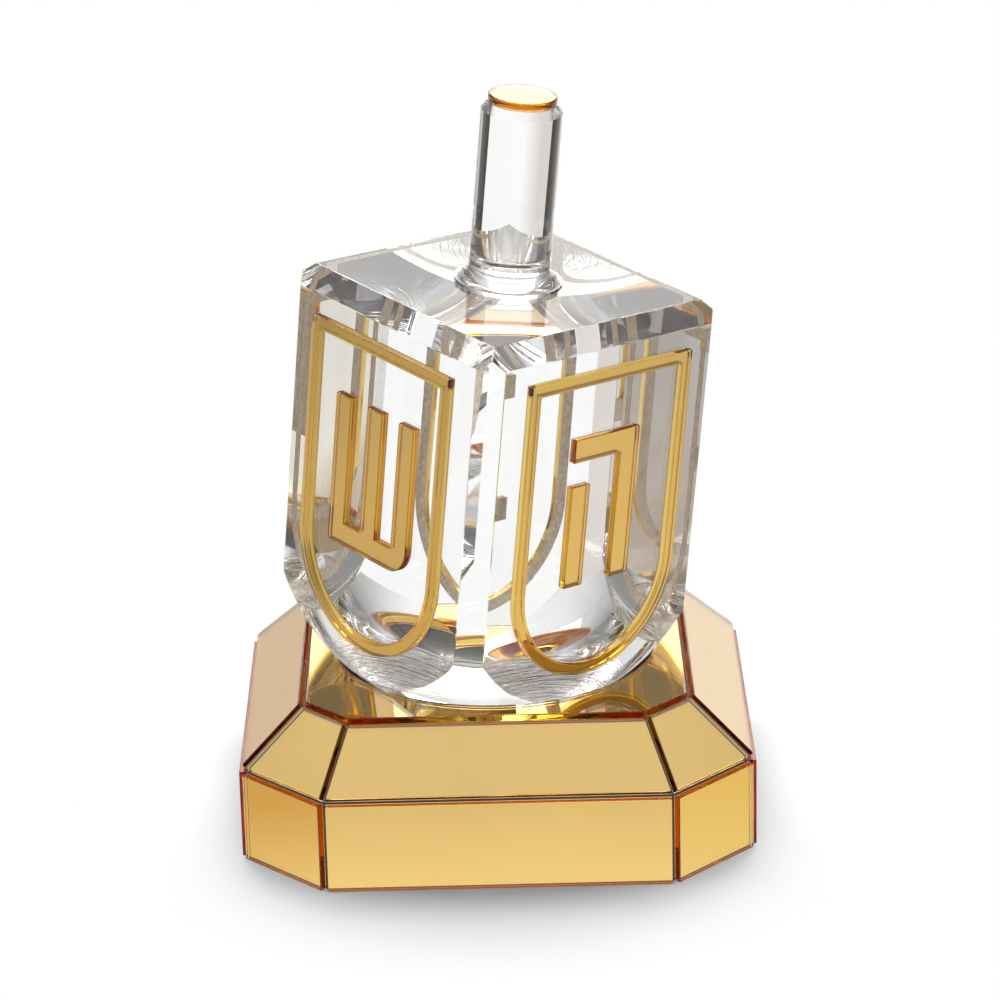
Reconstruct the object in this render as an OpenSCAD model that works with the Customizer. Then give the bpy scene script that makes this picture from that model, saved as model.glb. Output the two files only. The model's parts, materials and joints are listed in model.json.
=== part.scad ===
// Crystal dreidel that leans in the round seat of an octagonal stand tiled with gold mirror sheet.
// Millimetres. The origin is the middle of the stand's underside, +Z is up and -Y is the front.

/* [Mirror sheet] */
// Thickness of the gold mirror sheet that all gold pieces are cut from
sheet_t = 1; // [0.6:0.1:2]
// Gap from each tile's edge to the edge of the face that it covers
tile_gap = 0.15; // [0.1:0.05:0.5]

/* [Stand] */
// Width of the core across its long sides, without tiles
core_w = 64.5; // [60:0.5:80]
// Cut across each upright corner of the core, measured along each side
core_cut = 10.25; // [8:0.25:13]
// Height of the core's upright walls
wall_h = 12; // [10:0.5:20]
// Rise of the slope around the core's top
bevel = 7.2; // [4:0.1:10]
// Thickness of the felt under the core
pad_t = 0.5; // [0.3:0.1:2]
// Distance from the felt's edge to the core's edge
pad_inset = 2; // [0.5:0.5:6]

/* [Seat] */
// Diameter of the seat hole in the top plate
seat_d = 42.5; // [38:0.5:44]
// Width of the top plate between the seat hole and its long sides
seat_rim = 3.25; // [2:0.05:5]
// Clearance between the dome and the edge of the seat
seat_gap = 0.3; // [0.2:0.05:0.6]
// Space between the dome and the floor of the well
well_gap = 1; // [0.5:0.5:3]

/* [Crystal block] */
// Width of the block across its faces
block_w = 40; // [36:0.5:46]
// Cut along each upright edge, measured along each face
edge_cut = 2.6; // [1.5:0.1:4]
// Cut around the top face, measured in and down
top_cut = 2.5; // [1.5:0.1:4]
// Height of the top face above the middle of the dome's sphere
block_top = 29.3; // [26:0.1:34]
// How far the dome's sphere reaches past the upright edges
dome_margin = 3.2; // [2:0.1:6]

/* [Lean in the seat] */
// Angle of the dreidel's axis from upright
lean = 5.8; // [0:0.1:9]
// Direction that it leans to, from +X toward +Y
lean_to = -17.7; // [-180:0.1:180]
// Turn of the block about its own axis
turn = 40.4; // [0:0.1:90]

/* [Handle] */
// Diameter of the rod
rod_d = 10.4; // [8:0.1:14]
// Length of the rod above the block
rod_len = 24; // [18:0.5:32]
// Cut around the rod's top, measured inward
rod_cut = 0.8; // [0.4:0.1:1.5]
// Height of that cut
rod_cut_h = 1.1; // [0.5:0.1:2]
// Radius of the flare at the rod's foot
foot_flare = 1.8; // [1:0.1:3]
// Thickness of the foot's edge under the flare
foot_lip = 0.5; // [0.3:0.1:1]

/* [Shields] */
// Width of the shield's band
shield_band = 1.7; // [1:0.1:3]
// Distance from the shield's side to the cut edge of the face
shield_side = 3.8; // [2:0.1:6]
// Distance from the shield's top to the top of the face
shield_drop = 2.5; // [1:0.1:5]
// Distance from the shield's round end to the round end of the face
shield_foot = 4.1; // [2:0.1:7]

/* [Letters] */
// Width of a letter's strokes
letter_bar = 3.2; // [2:0.1:3.6]
// Height of the letters
letter_h = 20.4; // [17:0.1:22]
// Distance from the inside of the shield's top to the letters' top
letter_drop = 7; // [4:0.1:9]
// Clear width on each side of the widest letter, inside the shield
letter_side = 4.1; // [2:0.1:5]
// How much narrower the he is on each side
letter_narrow = 2.3; // [1:0.1:2.6]
// How much narrower again the gimel and the nun are on each side
letter_thin = 2.2; // [1:0.1:2.3]
// Height of the gap above the loose leg
leg_gap = 3.2; // [2:0.1:5]
// Radius of a letter's round lower corner
letter_round = 3.6; // [2:0.1:5]

/* [Hidden] */
$fn = 96;
// Spare length of a cutting tool past the face that it cuts
over = 2;
// Angle from one side of the stand to the next, and from one face of the block to the next
side_turn = 45;
face_turn = 90;

// Stand
core_z = pad_t;
wall_top = core_z + wall_h;
core_top = wall_top + bevel;
plate_top = core_top + sheet_t;
side_d = core_w / 2;
side_w = core_w - 2 * core_cut;
corner_d = (core_w - core_cut) / sqrt(2);
corner_w = core_cut * sqrt(2);
seat_r = seat_d / 2;
// The slope goes in from the wall to the edge of the top plate
bevel_in = side_d - seat_r - seat_rim - tile_gap;
bevel_slope = atan2(bevel, bevel_in);
bevel_len = norm([bevel, bevel_in]);
bevel_narrow = bevel_in * tan(side_turn / 2);

// Dreidel, measured from the middle of the dome's sphere
corner_reach = (block_w - edge_cut) / sqrt(2);
dome_r = corner_reach + dome_margin;
face_d = block_w / 2;
face_w = block_w - 2 * edge_cut;
face_top = block_top - top_cut;
face_end = -sqrt(pow(dome_r, 2) - pow(face_d, 2));

// Seat: the dome's sphere stops a clearance away from the edge of the hole
pivot_z = plate_top + sqrt(pow(dome_r + seat_gap, 2) - pow(seat_r, 2));
well_z = pivot_z - dome_r - well_gap;

// Handle
rod_r = rod_d / 2;
cap_r = rod_r - rod_cut;
foot_r = rod_r + foot_flare;
foot_h = foot_lip + foot_flare;

// Shields and letters, in the plane of a face
shield_w = face_w - 2 * shield_side;
shield_r = shield_w / 2;
shield_top = face_top - shield_drop;
shield_mid = face_end + shield_foot + shield_r;
field_w = shield_w - 2 * shield_band;
letter_top = shield_top - shield_band - letter_drop;
letter_low = letter_top - letter_h;
wide_w = field_w - 2 * letter_side;
slim_w = wide_w - 2 * letter_narrow;
thin_w = slim_w - 2 * letter_thin;
leg_top = letter_h - letter_bar - leg_gap;

// Colours
gold = [0.87, 0.71, 0.36];
clear = [0.92, 0.95, 0.96, 0.45];
board = [0.32, 0.31, 0.30];
felt = [0.16, 0.16, 0.17];

// Sides of the stand, from the front toward the right, 45 degrees apart
SIDES = ["front", "front_right", "right", "back_right", "back", "back_left", "left", "front_left"];
// Faces of the block with their letters, 90 degrees apart
FACES = ["shin", "he", "gimel", "nun"];

// Outline of the stand with its faces moved in by the given distance
module stand_outline(inset) {
    side = side_d - inset;
    half = sqrt(2) * (corner_d - inset) - side;
    polygon([
        [half, -side], [side, -half], [side, half], [half, side],
        [-half, side], [-side, half], [-side, -half], [-half, -side]
    ]);
}

// Distance of a side from the stand's axis, and its width
function is_corner(i) = i % 2 == 1;
function side_dist(i) = is_corner(i) ? corner_d : side_d;
function side_width(i) = is_corner(i) ? corner_w : side_w;

module base_pad() {
    color(felt)
        linear_extrude(pad_t)
            stand_outline(pad_inset);
}

// Part that is cut off the core above the slope of one side
module bevel_cut(i) {
    rotate([0, 0, side_turn * i])
        translate([0, -side_dist(i), wall_top])
            rotate([bevel_slope, 0, 0])
                translate([-core_w / 2, -over, 0])
                    cube([core_w, bevel_len + 2 * over, bevel_len + over]);
}

module base_core() {
    color(board)
        difference() {
            translate([0, 0, core_z])
                linear_extrude(core_top - core_z)
                    stand_outline(0);
            for (i = [0 : len(SIDES) - 1])
                bevel_cut(i);
            translate([0, 0, well_z])
                cylinder(r = seat_r, h = core_top - well_z + over);
        }
}

module top_plate() {
    color(gold)
        translate([0, 0, core_top])
            difference() {
                linear_extrude(sheet_t)
                    stand_outline(bevel_in + tile_gap);
                translate([0, 0, -over])
                    cylinder(r = seat_r, h = sheet_t + 2 * over);
            }
}

// Upright tile on one side of the core
module wall_tile(i) {
    width = side_width(i) - 2 * tile_gap;
    color(gold)
        rotate([0, 0, side_turn * i])
            translate([-width / 2, -side_dist(i) - sheet_t, core_z])
                cube([width, sheet_t, wall_h - tile_gap]);
}

// Slanted tile on one side of the core, narrower at its upper end
module bevel_tile(i) {
    low = side_width(i) / 2;
    slant = bevel_narrow / bevel_len;
    trim = tile_gap * sqrt(1 + pow(slant, 2));
    low_half = low - slant * tile_gap - trim;
    high_half = low - slant * (bevel_len - tile_gap) - trim;
    color(gold)
        rotate([0, 0, side_turn * i])
            translate([0, -side_dist(i), wall_top])
                rotate([bevel_slope, 0, 0])
                    linear_extrude(sheet_t)
                        polygon([
                            [-low_half, tile_gap], [low_half, tile_gap],
                            [high_half, bevel_len - tile_gap], [-high_half, bevel_len - tile_gap]
                        ]);
}

// Puts a dreidel piece, made about the middle of the dome's sphere, into the leaning rest place
module in_seat() {
    translate([0, 0, pivot_z])
        rotate([0, 0, lean_to])
            rotate([0, lean, 0])
                rotate([0, 0, turn - lean_to])
                    children();
}

// Wedge taken off the block's top along one side
module top_edge_cut() {
    rotate([90, 0, 0])
        linear_extrude(2 * block_w, center = true)
            polygon([
                [face_d - top_cut - over, block_top + over],
                [face_d + over, face_top - over],
                [face_d + over, block_top + over]
            ]);
}

module crystal_block() {
    half = face_d - edge_cut;
    color(clear)
        in_seat()
            difference() {
                intersection() {
                    translate([0, 0, -dome_r])
                        linear_extrude(dome_r + block_top)
                            polygon([
                                [half, -face_d], [face_d, -half], [face_d, half], [half, face_d],
                                [-half, face_d], [-face_d, half], [-face_d, -half], [-half, -face_d]
                            ]);
                    union() {
                        sphere(r = dome_r);
                        cylinder(r = dome_r, h = block_top + over);
                    }
                }
                for (i = [0 : len(FACES) - 1])
                    rotate([0, 0, face_turn * i])
                        top_edge_cut();
            }
}

module handle_rod() {
    color(clear)
        in_seat()
            translate([0, 0, block_top])
                rotate_extrude()
                    union() {
                        polygon([
                            [0, 0], [rod_r, 0], [rod_r, rod_len - rod_cut_h], [cap_r, rod_len], [0, rod_len]
                        ]);
                        difference() {
                            square([foot_r, foot_h]);
                            translate([foot_r, foot_h])
                                circle(r = foot_flare);
                        }
                    }
}

module handle_cap() {
    color(gold)
        in_seat()
            translate([0, 0, block_top + rod_len])
                cylinder(r = cap_r, h = sheet_t);
}

// Cuts a flat shape from the sheet and lays it on one face of the block
// In the shape x runs to the reader's right and y up along the dreidel's axis
module on_face(face) {
    color(gold)
        in_seat()
            rotate([0, 0, face_turn * (face - 1)])
                translate([0, -face_d, 0])
                    rotate([90, 0, 0])
                        linear_extrude(sheet_t)
                            children();
}

// Flat-topped outline with a half-round lower end, moved in by the given distance
module shield_outline(inset) {
    half = shield_r - inset;
    translate([-half, shield_mid])
        square([2 * half, shield_top - inset - shield_mid]);
    translate([0, shield_mid])
        circle(r = half);
}

module shield(face) {
    on_face(face)
        difference() {
            shield_outline(0);
            shield_outline(shield_band);
        }
}

// Corner of a stroke that is taken off to leave it round, for a lower right corner
module round_corner(x) {
    translate([x, 0])
        difference() {
            translate([-letter_round, -over])
                square([letter_round + over, letter_round + over]);
            translate([-letter_round, letter_round])
                circle(r = letter_round);
        }
}

// Three uprights on one base stroke
module shin_shape() {
    half = wide_w / 2;
    difference() {
        union() {
            for (x = [-half, -letter_bar / 2, half - letter_bar])
                translate([x, 0])
                    square([letter_bar, letter_h]);
            translate([-half, 0])
                square([wide_w, letter_bar]);
        }
        round_corner(half);
    }
}

// Roof stroke with the right leg
module he_shape() {
    half = slim_w / 2;
    translate([-half, letter_h - letter_bar])
        square([slim_w, letter_bar]);
    translate([half - letter_bar, 0])
        square([letter_bar, letter_h]);
}

// Loose left leg under the roof stroke
module he_leg_shape() {
    translate([-slim_w / 2, 0])
        square([letter_bar, leg_top]);
}

// Roof stroke, a right upright and a slanted foot
module gimel_shape() {
    half = thin_w / 2;
    translate([-half, letter_h - letter_bar])
        square([thin_w, letter_bar]);
    translate([half - letter_bar, 0])
        square([letter_bar, letter_h]);
    polygon([
        [-half, 0], [letter_bar - half, 0],
        [half - letter_bar / 2, 2 * letter_bar], [half - letter_bar / 2, 3 * letter_bar]
    ]);
}

// Roof stroke, a right upright and a base stroke
module nun_shape() {
    half = thin_w / 2;
    difference() {
        union() {
            for (y = [0, letter_h - letter_bar])
                translate([-half, y])
                    square([thin_w, letter_bar]);
            translate([half - letter_bar, 0])
                square([letter_bar, letter_h]);
        }
        round_corner(half);
    }
}

module letter(face) {
    on_face(face)
        translate([0, letter_low])
            if (FACES[face] == "shin") shin_shape();
            else if (FACES[face] == "he") he_shape();
            else if (FACES[face] == "gimel") gimel_shape();
            else nun_shape();
}

module letter_he_leg() {
    on_face(search(["he"], FACES)[0])
        translate([0, letter_low])
            he_leg_shape();
}

base_pad();
base_core();
top_plate();
for (i = [0 : len(SIDES) - 1]) {
    wall_tile(i);
    bevel_tile(i);
}
crystal_block();
handle_rod();
handle_cap();
for (i = [0 : len(FACES) - 1]) {
    shield(i);
    letter(i);
}
letter_he_leg();
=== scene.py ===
# Crystal dreidel in a mirror-tiled stand: finish, light and camera around the fixed model.
import json
import math

import bmesh
import bpy
from mathutils import Matrix, Vector


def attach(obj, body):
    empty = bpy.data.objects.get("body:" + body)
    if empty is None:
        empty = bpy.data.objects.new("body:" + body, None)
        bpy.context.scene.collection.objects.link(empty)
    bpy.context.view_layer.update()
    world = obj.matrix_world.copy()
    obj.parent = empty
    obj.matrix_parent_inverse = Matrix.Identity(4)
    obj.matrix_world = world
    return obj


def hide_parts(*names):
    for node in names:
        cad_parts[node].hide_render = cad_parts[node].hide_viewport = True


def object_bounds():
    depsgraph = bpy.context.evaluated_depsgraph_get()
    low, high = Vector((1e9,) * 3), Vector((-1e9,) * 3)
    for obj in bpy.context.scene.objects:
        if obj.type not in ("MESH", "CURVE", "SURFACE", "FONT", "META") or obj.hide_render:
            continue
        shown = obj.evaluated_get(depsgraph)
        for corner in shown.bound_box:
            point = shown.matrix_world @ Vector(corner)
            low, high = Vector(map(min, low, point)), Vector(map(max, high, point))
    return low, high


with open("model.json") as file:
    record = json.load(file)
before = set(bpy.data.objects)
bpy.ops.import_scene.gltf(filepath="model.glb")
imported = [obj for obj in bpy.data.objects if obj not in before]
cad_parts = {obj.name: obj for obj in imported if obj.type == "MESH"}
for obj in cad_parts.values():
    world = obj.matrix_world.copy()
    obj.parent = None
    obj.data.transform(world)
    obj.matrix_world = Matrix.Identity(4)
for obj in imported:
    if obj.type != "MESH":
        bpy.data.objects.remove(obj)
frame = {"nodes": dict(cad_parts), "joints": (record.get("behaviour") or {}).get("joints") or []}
cad_low, cad_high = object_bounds()

MM = 0.001

# Driving sizes of the dreidel, the same as in the solid model
BLOCK_W = 40 * MM
EDGE_CUT = 2.6 * MM
TOP_CUT = 2.5 * MM
BLOCK_TOP = 29.3 * MM
DOME_MARGIN = 3.2 * MM
TURN = math.radians(40.4)
ROD_D = 10.4 * MM
ROD_LEN = 24 * MM
ROD_CUT = 0.8 * MM
ROD_CUT_H = 1.1 * MM
FOOT_FLARE = 1.8 * MM
FOOT_LIP = 0.5 * MM

# Small roundings and seams
GLASS_EDGE = 0.07 * MM
TILE_EDGE = 0.18 * MM
SHEET_EDGE = 0.28 * MM
FILM_T = 0.04 * MM
FILM_GAP = 0.01 * MM
CEMENT_SINK = 0.03 * MM
LETTER_LIFT = 0.02 * MM
FOOT_LIFT = 0.02 * MM

# Share of clear coat on the fronts of the gold sheet
BEVEL_COAT = 1.0
PLATE_COAT = 0.4
CAP_COAT = 0.5
PLAIN = 0.0

# Refraction of the two clear materials
ACRYLIC_IOR = 1.49
CRYSTAL_IOR = 1.52

# Rings that grinding leaves on the dome: full inside one radius, polished away outside the other
RING_PITCH = 0.45 * MM
RING_DRIFT = 0.8
RING_WAVES = 3
GROUND_R = 13 * MM
POLISH_R = 17 * MM

# Fineness of the round surfaces
DOME_RINGS = 56
SIDE_STEPS = 48
FACET_STEPS = 8
LATHE_STEPS = 160
FLARE_STEPS = 14
EDGE_STEPS = 4
FLAG_STEPS = 16

# Limits for telling points, faces and edges apart
WELD = 0.001 * MM
ON_DOME = 0.0002 * MM
NORMAL_DIGITS = 3
FLAT_ANGLE = math.radians(0.5)
SHEET_SHARP = math.radians(40)
GLASS_SHARP = math.radians(15)
ROD_SHARP = math.radians(30)
FACING = 0.9
FLAT_FACING = 0.99

# Worked out from the driving sizes
FACE_D = BLOCK_W / 2
FACE_TOP = BLOCK_TOP - TOP_CUT
DOME_R = (BLOCK_W - EDGE_CUT) / math.sqrt(2) + DOME_MARGIN
ROD_R = ROD_D / 2
CAP_R = ROD_R - ROD_CUT
FOOT_R = ROD_R + FOOT_FLARE
FOOT_H = FOOT_LIP + FOOT_FLARE

# Camera: a long lens, slightly rolled
CAMERA_LENS = 151.0
SENSOR_WIDTH = 36.0
CAMERA_DISTANCE = 548.9 * MM
CAMERA_ELEVATION = math.radians(20.85)
CAMERA_ROLL = math.radians(-1.37)
CAMERA_TARGET = Vector((1.1 * MM, 0, 40.6 * MM))
CLIP_NEAR = 0.01
CLIP_FAR = 20.0

# Floor: its half width, the reach of the object's shadow, and how far the painted reflection tones and
# painted shade of its sweep go sideways and in front
FLOOR_HALF = 3.0
SHADOW_IN = 34 * MM
SHADOW_OUT = 57 * MM
PAINTED_SWEEP_REACH = 250 * MM
PAINTED_FRONT_DARK = -70 * MM
PAINTED_FRONT_LIGHT = -36 * MM

# Dark cards beside the object
FLAG_RADIUS = 100 * MM
FLAG_LOW = 26 * MM
FLAG_HIGH = 75 * MM

# Point that the lamps face
LAMP_AIM = Vector((0, 0, 40 * MM))

# Colour sockets of a Mix node
MIX_FIRST, MIX_SECOND, MIX_RESULT = 6, 7, 2

SIDES = ["front", "front_right", "right", "back_right", "back", "back_left", "left", "front_left"]
LETTERS = ["shin", "he", "gimel", "nun"]

spin = next(j for j in frame["joints"] if j["name"] == "spin")
PIVOT = Vector(spin["pos_m"])
AXIS = Vector(spin["axis"]).normalized()


def seat_matrix():
    """Place of the dreidel: its own axis upright at the dome's middle, leaned and turned into the seat."""
    lean = Vector((0, 0, 1)).rotation_difference(AXIS).to_matrix().to_4x4()
    return Matrix.Translation(PIVOT) @ lean @ Matrix.Rotation(TURN, 4, "Z")


SEAT = seat_matrix()


# Node trees
def grey(value):
    return (value, value, value)


class Shading:
    """Node tree of a material or world, with short calls for what the looks share."""

    def __init__(self, owner):
        owner.use_nodes = True
        self.owner = owner
        self.nodes = owner.node_tree.nodes
        self.link = owner.node_tree.links.new

    def add(self, kind, **values):
        """Adds a node and sets its properties and, by name, its input sockets."""
        node = self.nodes.new(kind)
        for key, value in values.items():
            if hasattr(node, key):
                setattr(node, key, value)
            else:
                node.inputs[key.replace("_", " ")].default_value = value
        return node

    def coords(self, kind):
        return self.add("ShaderNodeTexCoord").outputs[kind]

    def attribute(self, name):
        return self.add("ShaderNodeAttribute", attribute_name=name).outputs["Fac"]

    def axes(self, vector):
        node = self.add("ShaderNodeSeparateXYZ")
        self.link(vector, node.inputs["Vector"])
        return node.outputs

    def noise(self, place, scale, detail, roughness=0.5):
        node = self.add("ShaderNodeTexNoise", Scale=scale, Detail=detail, Roughness=roughness)
        self.link(place, node.inputs["Vector"])
        return node.outputs["Fac"]

    def ramp(self, source, stops):
        """Colour by a value from 0 to 1, given as (place, colour) stops."""
        node = self.add("ShaderNodeValToRGB")
        elements = node.color_ramp.elements
        for element, (place, colour) in zip(elements, (stops[0], stops[-1])):
            element.position = place
            element.color = (*colour, 1)
        for place, colour in stops[1:-1]:
            elements.new(place).color = (*colour, 1)
        self.link(source, node.inputs["Fac"])
        return node.outputs["Color"]

    def rise(self, source, low, high, least=0.0):
        """Goes from least to 1 while the source goes from low to high."""
        node = self.add("ShaderNodeMapRange", From_Min=low, From_Max=high, To_Min=least)
        self.link(source, node.inputs["Value"])
        return node.outputs["Result"]

    def math(self, operation, first, second):
        node = self.add("ShaderNodeMath", operation=operation)
        self.link(first, node.inputs[0])
        self.link(second, node.inputs[1])
        return node.outputs["Value"]

    def vector(self, operation, source, output):
        node = self.add("ShaderNodeVectorMath", operation=operation)
        self.link(source, node.inputs[0])
        return node.outputs[output]

    def blend(self, first, second, **values):
        """Mixes two colours. Returns the node's factor socket and its result."""
        node = self.add("ShaderNodeMix", data_type="RGBA", **values)
        self.link(first, node.inputs[MIX_FIRST])
        self.link(second, node.inputs[MIX_SECOND])
        return node.inputs["Factor"], node.outputs[MIX_RESULT]

    def choose(self, share, first, second):
        """Goes from the first shader to the second with the share."""
        node = self.add("ShaderNodeMixShader")
        self.link(share, node.inputs["Fac"])
        self.link(first, node.inputs[1])
        self.link(second, node.inputs[2])
        return node.outputs["Shader"]

    def bump(self, height, shader, **values):
        node = self.add("ShaderNodeBump", **values)
        self.link(height, node.inputs["Height"])
        self.link(node.outputs["Normal"], shader.inputs["Normal"])
        return node


def new_material(name):
    tree = Shading(bpy.data.materials.new(name))
    return tree, tree.nodes["Principled BSDF"]


def make_clear(shader, colour, ior):
    shader.inputs["Base Color"].default_value = (*colour, 1)
    shader.inputs["Transmission Weight"].default_value = 1.0
    shader.inputs["IOR"].default_value = ior


# Materials
def gold_acrylic():
    """Clear gold acrylic of the mirror sheet: pale through its thickness, deep amber along it."""
    tree, shader = new_material("gold_acrylic")
    make_clear(shader, grey(1.0), ACRYLIC_IOR)
    haze = tree.noise(tree.coords("Object"), scale=350.0, detail=4.0)
    tree.link(tree.ramp(haze, [(0.4, grey(0.0)), (0.8, grey(0.006))]), shader.inputs["Roughness"])
    tree.link(tree.attribute("coated"), shader.inputs["Coat Weight"])
    dye = tree.add("ShaderNodeVolumeAbsorption", Color=(0.95, 0.79, 0.0, 1), Density=750.0)
    tree.link(dye.outputs["Volume"], tree.nodes["Material Output"].inputs["Volume"])
    return tree.owner


def mirror_film():
    """Silvering under the gold acrylic, with faint waves from the sheet's rolling."""
    tree, shader = new_material("mirror_film")
    place = tree.coords("Object")
    tone = tree.noise(place, scale=45.0, detail=2.0)
    tint = tree.ramp(tone, [(0.3, (0.94, 0.81, 0.80)), (0.7, (0.98, 0.85, 0.84))])
    tree.link(tint, shader.inputs["Base Color"])
    wave = tree.noise(place, scale=90.0, detail=1.0)
    tree.bump(wave, shader, Strength=0.02, Distance=0.2 * MM)
    shader.inputs["Metallic"].default_value = 1.0
    shader.inputs["Roughness"].default_value = 0.005
    return tree.owner


def back_paint():
    """Grey-brown paint behind the silvering, seen through the crystal."""
    tree, shader = new_material("back_paint")
    speck = tree.noise(tree.coords("Object"), scale=1500.0, detail=4.0)
    tint = tree.ramp(speck, [(0.3, (0.50, 0.42, 0.34)), (0.7, (0.80, 0.70, 0.59))])
    tree.link(tint, shader.inputs["Base Color"])
    shader.inputs["Roughness"].default_value = 0.55
    return tree.owner


def crystal(name, low_rough, high_rough):
    """Optical crystal whose polish varies a little from place to place."""
    tree, shader = new_material(name)
    make_clear(shader, (0.985, 0.992, 0.992), CRYSTAL_IOR)
    polish = tree.noise(tree.coords("Object"), scale=160.0, detail=3.0)
    rough = tree.ramp(polish, [(0.4, grey(low_rough)), (0.75, grey(high_rough))])
    tree.link(rough, shader.inputs["Roughness"])
    return tree.owner


def ground_dome():
    """Underside of the block: crystal with the fine rings that grinding on a lathe leaves."""
    tree, shader = new_material("crystal_ground_dome")
    make_clear(shader, (0.97, 0.98, 0.98), CRYSTAL_IOR)
    place = tree.add("ShaderNodeCombineXYZ")
    tree.link(tree.attribute("ring"), place.inputs["X"])
    tree.link(tree.attribute("sweep"), place.inputs["Y"])
    rings = tree.noise(place.outputs["Vector"], scale=1.0, detail=3.0, roughness=0.6)
    ground = tree.attribute("ground")
    tree.link(tree.ramp(ground, [(0.0, grey(0.0)), (1.0, grey(0.06))]), shader.inputs["Roughness"])
    relief = tree.bump(rings, shader, Distance=0.4 * MM)
    tree.link(ground, relief.inputs["Strength"])
    return tree.owner


def grained(name, dark, light, scale, rough, relief):
    """Matt material with a fine grain, for the core and the felt."""
    tree, shader = new_material(name)
    grain = tree.noise(tree.coords("Object"), scale, detail=6.0, roughness=0.65)
    tree.link(tree.ramp(grain, [(0.3, dark), (0.7, light)]), shader.inputs["Base Color"])
    tree.bump(grain, shader, Strength=0.5, Distance=relief)
    shader.inputs["Roughness"].default_value = rough
    return tree.owner


ACRYLIC, FILM, PAINT = range(3)
SHEET = [gold_acrylic(), mirror_film(), back_paint()]
POLISHED, DOME, ARRIS = range(3)
GLASS = [crystal("crystal_polished", 0.0, 0.004), ground_dome(), crystal("crystal_edge", 0.05, 0.2)]


def new_piece(name, bm, materials, body, slot, *nodes):
    """Turns a bmesh into a piece of the model that rides on a body and stands for CAD nodes."""
    mesh = bpy.data.meshes.new(name)
    bm.to_mesh(mesh)
    bm.free()
    for mat in materials:
        mesh.materials.append(mat)
    piece = bpy.data.objects.new(name, mesh)
    bpy.context.scene.collection.objects.link(piece)
    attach(piece, body)
    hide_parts(*nodes)
    return piece


# Pieces of gold mirror sheet
def ease_normals(mesh):
    """Shades the rounded edges smoothly and leaves the large faces flat."""
    normals = [Vector() for _ in mesh.vertices]
    for face in mesh.polygons:
        face.use_smooth = True
        for i in face.vertices:
            normals[i] += face.normal * face.area ** 2
    mesh.normals_split_custom_set_from_vertices([n.normalized() for n in normals])


def outward(bm, carrier):
    """Direction in which a flat piece faces away from the point that carries it."""
    out = max(bm.faces, key=lambda f: f.calc_area()).normal.copy()
    middle = sum((v.co for v in bm.verts), Vector()) / len(bm.verts)
    if out.dot(middle - carrier) < 0:
        out.negate()
    return out


def add_film(bm, out, middle, back):
    """Copies the piece and presses the copy flat as the film, painted on all sides but its front."""
    copied = bmesh.ops.duplicate(bm, geom=bm.verts[:] + bm.edges[:] + bm.faces[:])["geom"]
    for v in (g for g in copied if isinstance(g, bmesh.types.BMVert)):
        level = back + FILM_T if v.co.dot(out) > middle else back
        v.co += out * (level - v.co.dot(out))
    for f in (g for g in copied if isinstance(g, bmesh.types.BMFace)):
        f.material_index = FILM if f.normal.dot(out) > FACING else PAINT


def sheet_piece(node, body, carrier, sink, edge, coat):
    """Dresses a flat piece as mirror sheet: gold acrylic with eased edges over a painted mirror film.

    carrier is a point on the side that the piece is cemented to, and sink is how far the film's
    back goes into the cement there. edge is the radius of the rounded edges, and coat the share
    of clear coat on the front.
    """
    bm = bmesh.new()
    bm.from_mesh(frame["nodes"][node].data)
    bmesh.ops.remove_doubles(bm, verts=bm.verts, dist=WELD)
    bmesh.ops.dissolve_limit(bm, angle_limit=FLAT_ANGLE, verts=bm.verts, edges=bm.edges)
    for f in bm.faces:
        f.material_index = ACRYLIC
    out = outward(bm, carrier)
    levels = [v.co.dot(out) for v in bm.verts]
    low = min(levels)
    middle = (low + max(levels)) / 2
    sheet_edges = bm.edges[:]
    sheet_verts = bm.verts[:]
    add_film(bm, out, middle, low - sink)
    # The acrylic ends just above the film
    for v in sheet_verts:
        if v.co.dot(out) < middle:
            v.co += out * (FILM_T + FILM_GAP - sink)
    sharp = [e for e in sheet_edges if e.calc_face_angle(0) > SHEET_SHARP]
    bmesh.ops.bevel(bm, geom=sharp, offset=edge, segments=EDGE_STEPS, profile=0.5, affect="EDGES",
                    clamp_overlap=True)
    bm.normal_update()
    coated = bm.faces.layers.float.new("coated")
    for f in bm.faces:
        f[coated] = coat if f.normal.dot(out) > FLAT_FACING else PLAIN
    piece = new_piece("sheet_" + node, bm, SHEET, body, "gold_mirror", node)
    ease_normals(piece.data)
    return piece


def build_tile(name, coat):
    tile = sheet_piece(name, "stand", Vector((0, 0, cad_low.z)), 0, TILE_EDGE, coat)
    # The floor's shadow stays neutral, because the floor does not take up the gold's colour
    tile.visible_diffuse = False


def build_sheet_pieces():
    for side in SIDES:
        build_tile("wall_" + side, PLAIN)
        build_tile("bevel_" + side, BEVEL_COAT)
    build_tile("top_plate", PLATE_COAT)
    sheet_piece("handle_cap", "handle", PIVOT, CEMENT_SINK, SHEET_EDGE, CAP_COAT)
    for name in LETTERS:
        sheet_piece("shield_" + name, "block", PIVOT, CEMENT_SINK, SHEET_EDGE, PLAIN)
        sheet_piece("letter_" + name, "block", PIVOT, -LETTER_LIFT, SHEET_EDGE, PLAIN)
    sheet_piece("letter_he_leg", "block", PIVOT, -LETTER_LIFT, SHEET_EDGE, PLAIN)


# Crystal block
def outline_points():
    """Points around the block's outline, corner to corner, as (x, y, is_corner)."""
    half = FACE_D - EDGE_CUT
    corners = [(half, -FACE_D), (FACE_D, -half), (FACE_D, half), (half, FACE_D),
               (-half, FACE_D), (-FACE_D, half), (-FACE_D, -half), (-half, -FACE_D)]
    points = []
    for i, (ax, ay) in enumerate(corners):
        bx, by = corners[(i + 1) % len(corners)]
        steps = FACET_STEPS if i % 2 == 0 else SIDE_STEPS
        for k in range(steps):
            t = k / steps
            points.append((ax + (bx - ax) * t, ay + (by - ay) * t, k == 0))
    return points


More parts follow.
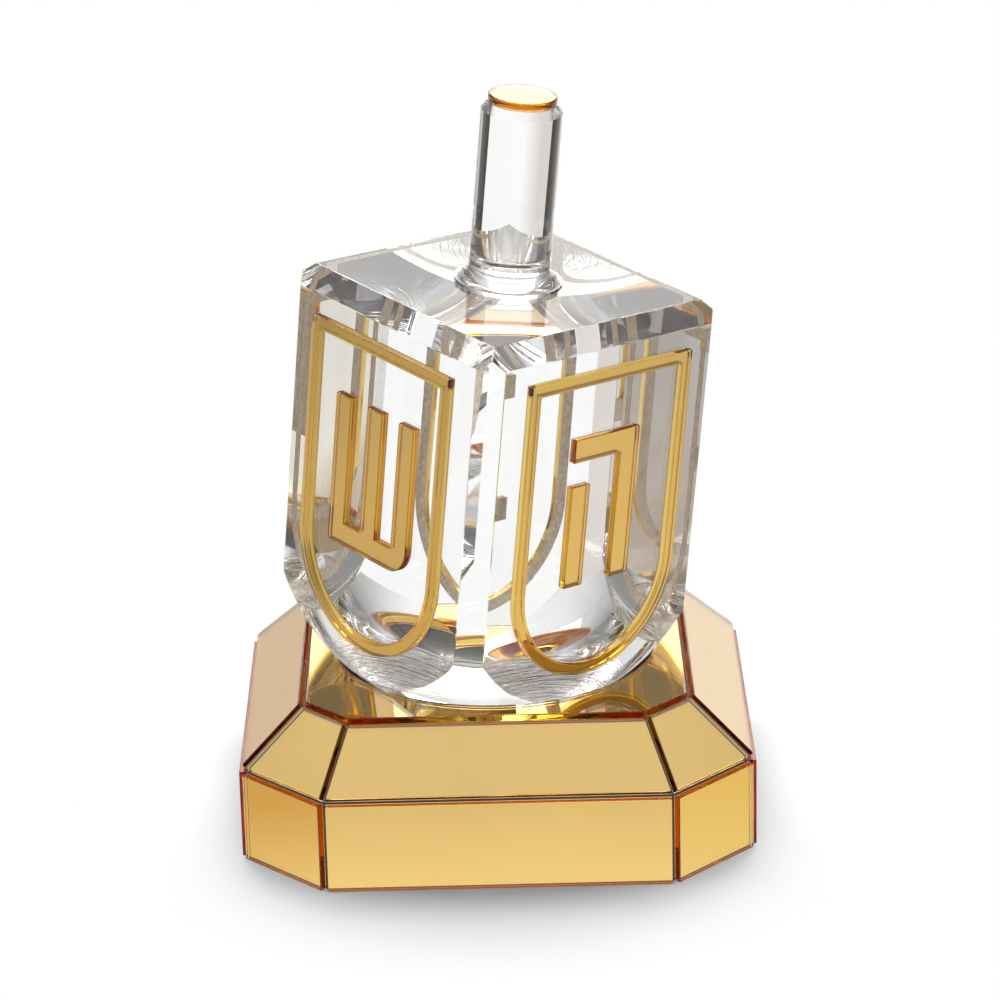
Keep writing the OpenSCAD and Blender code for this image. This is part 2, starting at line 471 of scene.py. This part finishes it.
def dome_height(x, y):
    return -math.sqrt(DOME_R ** 2 - x * x - y * y)


def block_bmesh():
    """The block about the dome's middle, with its upright axis along Z."""
    bm = bmesh.new()
    outline = outline_points()
    count = len(outline)
    pole = bm.verts.new((0, 0, -DOME_R))
    rings = []
    for j in range(1, DOME_RINGS + 1):
        t = j / DOME_RINGS
        rings.append([bm.verts.new((x * t, y * t, dome_height(x * t, y * t))) for x, y, _ in outline])
    for i in range(count):
        n = (i + 1) % count
        bm.faces.new((pole, rings[0][n], rings[0][i]))
        for low, high in zip(rings, rings[1:]):
            bm.faces.new((low[i], low[n], high[n], high[i]))
    # Upper ends of the outline's corners, and the tips of the cut edges
    starts = [i for i, point in enumerate(outline) if point[2]]
    upper = [bm.verts.new((outline[i][0], outline[i][1], FACE_TOP)) for i in starts]
    tip = FACE_D - EDGE_CUT / 2
    shoulder = FACE_D - TOP_CUT
    signs = [(1, -1), (1, 1), (-1, 1), (-1, -1)]
    tips = [bm.verts.new((sx * tip, sy * tip, FACE_TOP + EDGE_CUT / 2)) for sx, sy in signs]
    tops = [bm.verts.new((sx * shoulder, sy * shoulder, BLOCK_TOP)) for sx, sy in signs]
    boundary = rings[-1]
    for k, start in enumerate(starts):
        end = starts[(k + 1) % len(starts)] or count
        lower = [boundary[i % count] for i in range(start, end + 1)]
        after = upper[(k + 1) % len(upper)]
        crown = [after, tips[k // 2], upper[k]] if k % 2 == 0 else [after, upper[k]]
        bm.faces.new(lower + crown)
        if k % 2 == 1:
            here = k // 2
            there = (here + 1) % len(signs)
            bm.faces.new((upper[k], after, tips[there], tops[there], tops[here], tips[here]))
    bm.faces.new(tops)
    return bm


def on_dome(face):
    return all(abs(v.co.length - DOME_R) < ON_DOME for v in face.verts)


def rounded_normal(face):
    return tuple(round(c, NORMAL_DIGITS) for c in face.normal)


def mark_rings(bm):
    """Writes where each point lies on the grinding rings, for the dome's material."""
    ring = bm.verts.layers.float.new("ring")
    sweep = bm.verts.layers.float.new("sweep")
    ground = bm.verts.layers.float.new("ground")
    for v in bm.verts:
        radius = v.co.xy.length
        v[ring] = radius / RING_PITCH
        v[sweep] = RING_DRIFT * math.sin(RING_WAVES * math.atan2(v.co.y, v.co.x))
        v[ground] = min(1, max(0, (POLISH_R - radius) / (POLISH_R - GROUND_R)))


def build_block():
    bm = block_bmesh()
    bmesh.ops.recalc_face_normals(bm, faces=bm.faces)
    sharp = [e for e in bm.edges if e.calc_face_angle(0) > GLASS_SHARP]
    flats = {rounded_normal(f) for f in bm.faces if not on_dome(f)}
    bmesh.ops.bevel(bm, geom=sharp, offset=GLASS_EDGE, segments=1, profile=0.5, affect="EDGES",
                    clamp_overlap=True)
    bm.normal_update()
    mark_rings(bm)
    for f in bm.faces:
        if on_dome(f):
            f.material_index = DOME
            f.smooth = True
        elif rounded_normal(f) in flats:
            f.material_index = POLISHED
        else:
            f.material_index = ARRIS
    bm.transform(SEAT)
    return new_piece("crystal_body", bm, GLASS, "block", "crystal", "crystal_block")


# Handle
def rod_profile():
    """Half outline of the rod from its foot up, as (radius, height)."""
    points = [(FOOT_R, FOOT_LIFT), (FOOT_R, FOOT_LIP)]
    for i in range(1, FLARE_STEPS + 1):
        a = math.pi / 2 * i / FLARE_STEPS
        points.append((FOOT_R - FOOT_FLARE * math.sin(a), FOOT_H - FOOT_FLARE * math.cos(a)))
    points.append((ROD_R, ROD_LEN - ROD_CUT_H))
    points.append((CAP_R, ROD_LEN))
    return points


def build_rod():
    bm = bmesh.new()
    turns = [2 * math.pi * i / LATHE_STEPS for i in range(LATHE_STEPS)]
    bands = []
    for radius, height in rod_profile():
        z = BLOCK_TOP + height
        bands.append([bm.verts.new((radius * math.cos(a), radius * math.sin(a), z)) for a in turns])
    bm.faces.new(list(reversed(bands[0])))
    bm.faces.new(bands[-1])
    for low, high in zip(bands, bands[1:]):
        for i in range(LATHE_STEPS):
            n = (i + 1) % LATHE_STEPS
            bm.faces.new((low[i], low[n], high[n], high[i])).smooth = True
    bm.transform(SEAT)
    piece = new_piece("crystal_rod", bm, GLASS, "handle", "crystal", "handle_rod")
    piece.data.set_sharp_from_angle(angle=ROD_SHARP)
    return piece


def dress_cad_nodes():
    """Finishes for the nodes whose solid shape is kept."""
    core = grained("core_board", dark=(0.06, 0.05, 0.046), light=(0.12, 0.1, 0.094),
                   scale=500.0, rough=0.7, relief=0.05 * MM)
    felt = grained("pressed_felt", dark=(0.006, 0.006, 0.007), light=(0.03, 0.03, 0.032),
                   scale=1600.0, rough=0.95, relief=0.2 * MM)
    for node, mat in (("base_core", core), ("base_pad", felt)):
        obj = frame["nodes"][node]
        obj.data.materials.clear()
        obj.data.materials.append(mat)


# Studio
def stage_mesh(name, verts, faces, mat):
    mesh = bpy.data.meshes.new(name)
    mesh.from_pydata(verts, [], faces)
    mesh.materials.append(mat)
    piece = bpy.data.objects.new(name, mesh)
    bpy.context.scene.collection.objects.link(piece)
    return piece


def painted_reflection_sweep(tree, place):
    """Painted reflection: the glowing sweep that mirrors and glass see in place of the lit floor, with
    painted shade and warm tints from side to side, and greyer in places.
    """
    axes = tree.axes(place)
    heading = tree.axes(tree.vector("NORMALIZE", place, "Vector"))
    # Painted reflection tones from side to side: grey at the ends, white in the middle with warm tints
    # beside it
    across = tree.rise(axes["X"], low=-PAINTED_SWEEP_REACH, high=PAINTED_SWEEP_REACH)
    painted_tones_across = tree.ramp(across, [(0.0, (0.54, 0.53, 0.53)), (0.15, (0.66, 0.63, 0.60)),
                              (0.33, (0.66, 0.59, 0.49)), (0.40, (0.73, 0.60, 0.40)),
                              (0.46, grey(1.0)), (0.54, grey(1.0)),
                              (0.61, (0.87, 0.82, 0.60)), (0.66, (0.84, 0.79, 0.69)),
                              (0.85, (0.66, 0.65, 0.65)), (1.0, (0.38, 0.37, 0.39))])
    # Painted shade: a darker strip slightly behind, which the crystal's sides show
    painted_shade_strip = tree.rise(heading["Y"], low=0.1, high=0.18)
    dim = tree.ramp(painted_shade_strip, [(0.0, grey(1.0)), (1.0, (0.66, 0.61, 0.58))])
    around = tree.blend(painted_tones_across, dim, blend_type="MULTIPLY", Factor=1.0)[1]
    # Far behind the object the painted tone goes by direction
    spread = tree.rise(heading["X"], low=-0.5, high=0.5)
    painted_tones_behind = tree.ramp(spread, [(0.1, (0.74, 0.68, 0.64)), (0.42, grey(1.0))])
    behind, tone = tree.blend(around, painted_tones_behind)
    tree.link(tree.rise(heading["Y"], low=0.3, high=0.75), behind)
    # Painted shade: a little darker further in front
    front = tree.rise(axes["Y"], low=PAINTED_FRONT_DARK, high=PAINTED_FRONT_LIGHT, least=0.72)
    sweep = tree.add("ShaderNodeEmission")
    tree.link(tone, sweep.inputs["Color"])
    tree.link(front, sweep.inputs["Strength"])
    return sweep.outputs["Emission"]


def build_floor():
    """White floor: the camera sees it lit and shaded, and mirrors and glass see a glowing sweep of painted
    reflections and painted shade.
    """
    tree, shader = new_material("pale_floor_painted_sweep")
    shader.inputs["Base Color"].default_value = (0.96, 0.96, 0.96, 1)
    shader.inputs["Roughness"].default_value = 0.9
    shader.inputs["Specular IOR Level"].default_value = 0.0
    place = tree.coords("Object")
    # Beyond the object's shadow the floor is plain white
    clear = tree.rise(tree.vector("LENGTH", place, "Value"), low=SHADOW_IN, high=SHADOW_OUT)
    white = tree.add("ShaderNodeEmission").outputs["Emission"]
    lit = tree.choose(clear, shader.outputs["BSDF"], white)
    path = tree.add("ShaderNodeLightPath").outputs
    mirrored = tree.math("MAXIMUM", path["Is Glossy Ray"], path["Is Transmission Ray"])
    # Mirrors and glass see the painted reflection sweep instead of the lit floor
    surface = tree.choose(mirrored, lit, painted_reflection_sweep(tree, place))
    tree.link(surface, tree.nodes["Material Output"].inputs["Surface"])
    corners = [(-FLOOR_HALF, -FLOOR_HALF, 0), (FLOOR_HALF, -FLOOR_HALF, 0),
               (FLOOR_HALF, FLOOR_HALF, 0), (-FLOOR_HALF, FLOOR_HALF, 0)]
    floor = stage_mesh("floor", corners, [(0, 1, 2, 3)], tree.owner)


def build_flag(name, start, end):
    """Curved dark card out of view, between two angles, which gives the clear glass its dark edges."""
    verts = []
    for i in range(FLAG_STEPS + 1):
        a = math.radians(start + (end - start) * i / FLAG_STEPS)
        x, y = -FLAG_RADIUS * math.sin(a), FLAG_RADIUS * math.cos(a)
        verts += [(x, y, FLAG_LOW), (x, y, FLAG_HIGH)]
    faces = [(2 * i, 2 * i + 2, 2 * i + 3, 2 * i + 1) for i in range(FLAG_STEPS)]
    tree, shader = new_material(name)
    shader.inputs["Base Color"].default_value = (0.03, 0.028, 0.028, 1)
    shader.inputs["Roughness"].default_value = 0.9
    flag = stage_mesh(name, verts, faces, tree.owner)
    flag.visible_camera = False
    flag.visible_diffuse = False
    flag.visible_glossy = False
    flag.visible_shadow = False


def build_world():
    """White behind and overhead, greyer to the sides and in front, and plain white for the camera."""
    world = bpy.data.worlds.new("studio")
    bpy.context.scene.world = world
    tree = Shading(world)
    axes = tree.axes(tree.coords("Generated"))
    across = tree.rise(axes["X"], low=-1.0, high=1.0)
    sides = tree.ramp(across, [(0.05, grey(0.06)), (0.2, grey(0.3)), (0.32, grey(0.85)),
                               (0.42, grey(1.0)), (0.7, grey(1.0)),
                               (0.8, grey(0.5)), (0.95, grey(0.1))])
    ahead = tree.rise(axes["Y"], low=-0.15, high=0.2, least=0.25)
    walls = tree.math("MULTIPLY", sides, ahead)
    overhead = tree.ramp(axes["Z"], [(0.45, grey(0.2)), (0.64, grey(0.82))])
    facing = tree.rise(axes["Y"], low=-0.72, high=-0.45, least=0.35)
    ceiling = tree.math("MULTIPLY", overhead, facing)
    room = tree.math("MAXIMUM", walls, ceiling)
    camera_ray = tree.add("ShaderNodeLightPath").outputs["Is Camera Ray"]
    background = tree.nodes["Background"]
    background.inputs["Color"].default_value = (1, 1, 1, 1)
    tree.link(tree.math("MAXIMUM", room, camera_ray), background.inputs["Strength"])


def build_lamp(name, place, width, depth, energy):
    data = bpy.data.lights.new(name, "AREA")
    data.shape = "RECTANGLE"
    data.size = width
    data.size_y = depth
    data.energy = energy
    lamp = bpy.data.objects.new(name, data)
    lamp.location = place
    aim = LAMP_AIM - lamp.location
    lamp.rotation_euler = aim.to_track_quat("-Z", "Y").to_euler()
    bpy.context.scene.collection.objects.link(lamp)


def build_camera():
    data = bpy.data.cameras.new("camera")
    data.lens = CAMERA_LENS
    data.sensor_width = SENSOR_WIDTH
    data.clip_start = CLIP_NEAR
    data.clip_end = CLIP_FAR
    cam = bpy.data.objects.new("camera", data)
    back = Vector((0, -math.cos(CAMERA_ELEVATION), math.sin(CAMERA_ELEVATION)))
    right = Vector((1, 0, 0))
    up = back.cross(right)
    roll_right = right * math.cos(CAMERA_ROLL) + up * math.sin(CAMERA_ROLL)
    roll_up = back.cross(roll_right)
    place = Matrix((roll_right, roll_up, back)).transposed().to_4x4()
    place.translation = CAMERA_TARGET + back * CAMERA_DISTANCE
    cam.matrix_world = place
    bpy.context.scene.collection.objects.link(cam)
    bpy.context.scene.camera = cam


build_camera()
build_sheet_pieces()
build_block()
build_rod()
dress_cad_nodes()
build_floor()
build_flag("left_flag", start=36, end=66)
build_flag("right_flag", start=-40, end=-62)
build_world()
build_lamp("softbox_top", place=(0.0, 0.45, 0.75), width=0.7, depth=0.5, energy=5.0)
build_lamp("softbox_back", place=(0.0, 1.0, 0.42), width=1.0, depth=0.4, energy=1.5)
bpy.context.scene.view_settings.view_transform = "Standard"
bpy.context.scene.cycles.max_bounces = 32
bpy.context.scene.cycles.transmission_bounces = 32
bpy.context.scene.cycles.glossy_bounces = 16
bpy.context.scene.cycles.blur_glossy = 0.0
